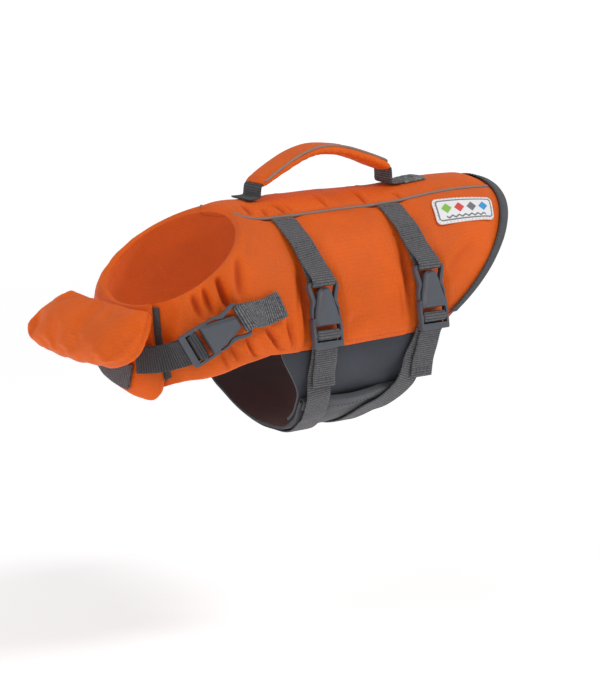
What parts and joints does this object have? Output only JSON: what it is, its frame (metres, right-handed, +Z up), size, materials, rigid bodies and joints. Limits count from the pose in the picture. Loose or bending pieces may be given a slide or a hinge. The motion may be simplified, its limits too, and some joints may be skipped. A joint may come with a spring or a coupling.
{
  "type": "dog life jacket",
  "caption": "Foam-filled dog life jacket for a toy dog, worn and fastened, with grab handle, chin float, belly panel and webbing straps with side-release buckles.",
  "frame": {"origin": "where the dog's back holds the jacket up: the inner face of the spine panel at its middle, midway between the two girth straps", "axes": "+Z up, +Y towards the tail, +X to the dog's left, the side with the buckles"},
  "size_m": [0.1449, 0.3165, 0.1781],
  "materials": {
    "orange_cloth": "ripstop nylon, dull",
    "slate_cloth": "plain weave, dull",
    "grey_webbing": "ribbed webbing, dull",
    "grey_binding": "woven tape, dull",
    "reflective_piping": "reflective cord, satin",
    "rough_tape": "hook tape, rough",
    "grey_plastic": "moulded, satin",
    "white_patch": "soft moulded, satin"
  },
  "bodies": {
    "root": {"belly_binding": "grey_binding", "belly_panel": "slate_cloth", "breast_tape": "grey_webbing", "buckle_female_front": "grey_plastic", "buckle_female_neck": "grey_plastic", "buckle_female_rear": "grey_plastic", "buckle_male_front": "grey_plastic", "buckle_male_neck": "grey_plastic", "buckle_male_rear": "grey_plastic", "chin_float": "orange_cloth", "girth_upper_front": "grey_webbing", "girth_upper_rear": "grey_webbing", "girth_web_front": "grey_webbing", "girth_web_rear": "grey_webbing", "handle_grip": "orange_cloth", "handle_piping": "reflective_piping", "handle_web_front": "grey_webbing", "handle_web_rear": "grey_webbing", "hook_patch": "rough_tape", "label_patch": "white_patch", "left_flank": "orange_cloth", "left_skirt": "slate_cloth", "neck_anchor_tab": "grey_webbing", "neck_patch_web": "grey_webbing", "neck_web": "grey_webbing", "piping_left": "reflective_piping", "piping_right": "reflective_piping", "rear_binding": "grey_binding", "right_flank": "orange_cloth", "spine_panel": "orange_cloth"}
  },
  "joints": []
}
